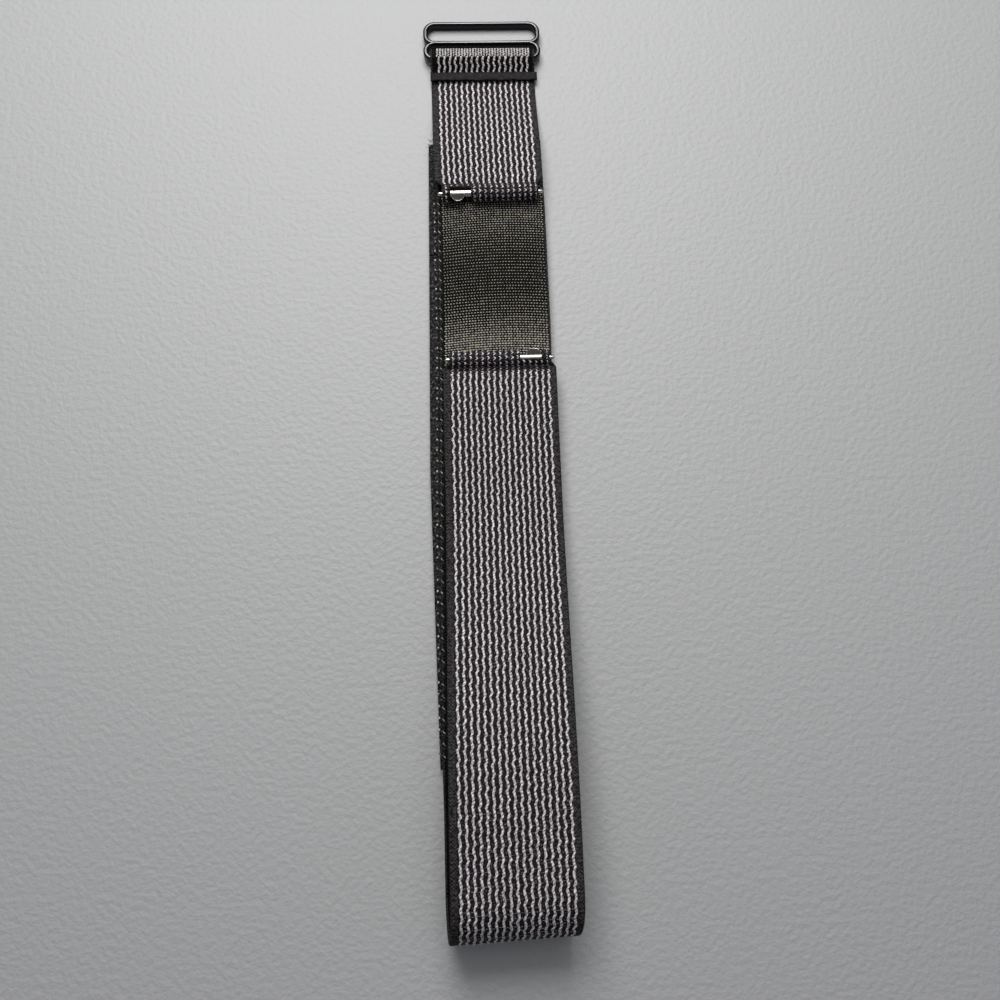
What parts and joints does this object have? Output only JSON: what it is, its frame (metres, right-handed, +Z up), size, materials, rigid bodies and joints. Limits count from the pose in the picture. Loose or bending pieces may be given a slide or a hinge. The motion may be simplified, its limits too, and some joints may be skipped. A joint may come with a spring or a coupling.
{
  "type": "nylon watch strap",
  "caption": "Woven nylon watch strap with hook and loop tail, adjusting buckle and quick release spring bars, lying folded.",
  "frame": {"origin": "on the flat underside of the tail's tape, midway between the two spring bars", "axes": "+Y from the fold towards the buckle, +Z up from the table, +X to the right seen from above"},
  "size_m": [0.0249, 0.183, 0.0142],
  "materials": {
    "woven_nylon": "woven, pale wavy stripes on dark ground",
    "woven_nylon_inner": "woven, fine ribs",
    "hook_tape": "hook pile",
    "loop_tape": "loop pile",
    "fused_nylon": "heat fused, finely ribbed",
    "sewing_thread": "thread",
    "dark_plated_metal": "dark plating, polished edges",
    "bright_steel": "bright"
  },
  "bodies": {
    "tail": {"long_strap_tail": "woven_nylon_inner", "tail_end_seal": "fused_nylon", "hook_tape": "hook_tape", "loop_tape": "loop_tape", "tail_seam_left": "sewing_thread", "tail_seam_right": "sewing_thread"},
    "fold": {"long_strap_fold_lower": "woven_nylon", "long_strap_fold_upper": "woven_nylon"},
    "front_run": {"long_strap_front": "woven_nylon", "long_bar_loop_seam": "sewing_thread"},
    "long_bar": {"long_bar_barrel": "bright_steel", "long_bar_fixed_tip": "bright_steel", "long_bar_coil_spring": "bright_steel"},
    "long_bar_plunger": {"long_bar_sliding_tip": "bright_steel", "long_bar_release_lever": "dark_plated_metal"},
    "short_strap": {"short_strap_webbing": "woven_nylon", "short_strap_end_band": "fused_nylon", "buckle_loop_seam": "sewing_thread", "short_bar_loop_seam": "sewing_thread"},
    "buckle": {"buckle_frame": "dark_plated_metal"},
    "short_bar": {"short_bar_barrel": "bright_steel", "short_bar_fixed_tip": "bright_steel", "short_bar_coil_spring": "bright_steel"},
    "short_bar_plunger": {"short_bar_sliding_tip": "bright_steel", "short_bar_release_lever": "dark_plated_metal"}
  },
  "joints": [
    {"name": "fold_lower_bend", "type": "hinge", "parent": "tail", "child": "fold", "pos_m": [0, -0.12024, 0.00234], "axis": [1, 0, 0], "range_deg": [0, 90], "deforming": ["long_strap_fold_lower"]},
    {"name": "fold_upper_bend", "type": "hinge", "parent": "fold", "child": "front_run", "pos_m": [0, -0.12024, 0.01181], "axis": [1, 0, 0], "range_deg": [0, 90], "deforming": ["long_strap_fold_upper"]},
    {"name": "long_bar_swivel", "type": "hinge", "parent": "front_run", "child": "long_bar", "pos_m": [0.0001, -0.0179, 0.00463], "axis": [1, 0, 0], "range_deg": [-20, 60]},
    {"name": "long_bar_release", "type": "slide", "parent": "long_bar", "child": "long_bar_plunger", "axis": [-1, 0, 0], "range_m": [0, 0.0012], "stiffness_N_per_m": 400, "springref_m": -0.002, "deforming": ["long_bar_coil_spring"]},
    {"name": "short_strap_lift", "type": "slide", "parent": "tail", "child": "short_strap", "axis": [0, 0, 1], "range_m": [0, 0.03]},
    {"name": "buckle_swing", "type": "hinge", "parent": "short_strap", "child": "buckle", "pos_m": [-0.0014, 0.05085, 0.00179], "axis": [1, 0, 0], "range_deg": [-80, 140]},
    {"name": "short_bar_swivel", "type": "hinge", "parent": "short_strap", "child": "short_bar", "pos_m": [-0.0007, 0.0179, 0.00463], "axis": [1, 0, 0], "range_deg": [-60, 20]},
    {"name": "short_bar_release", "type": "slide", "parent": "short_bar", "child": "short_bar_plunger", "axis": [1, 0, 0], "range_m": [0, 0.0012], "stiffness_N_per_m": 400, "springref_m": -0.002, "deforming": ["short_bar_coil_spring"]}
  ],
  "couplings": [
    {"joint": "fold_upper_bend", "follows": "fold_lower_bend", "ratio": 1}
  ]
}
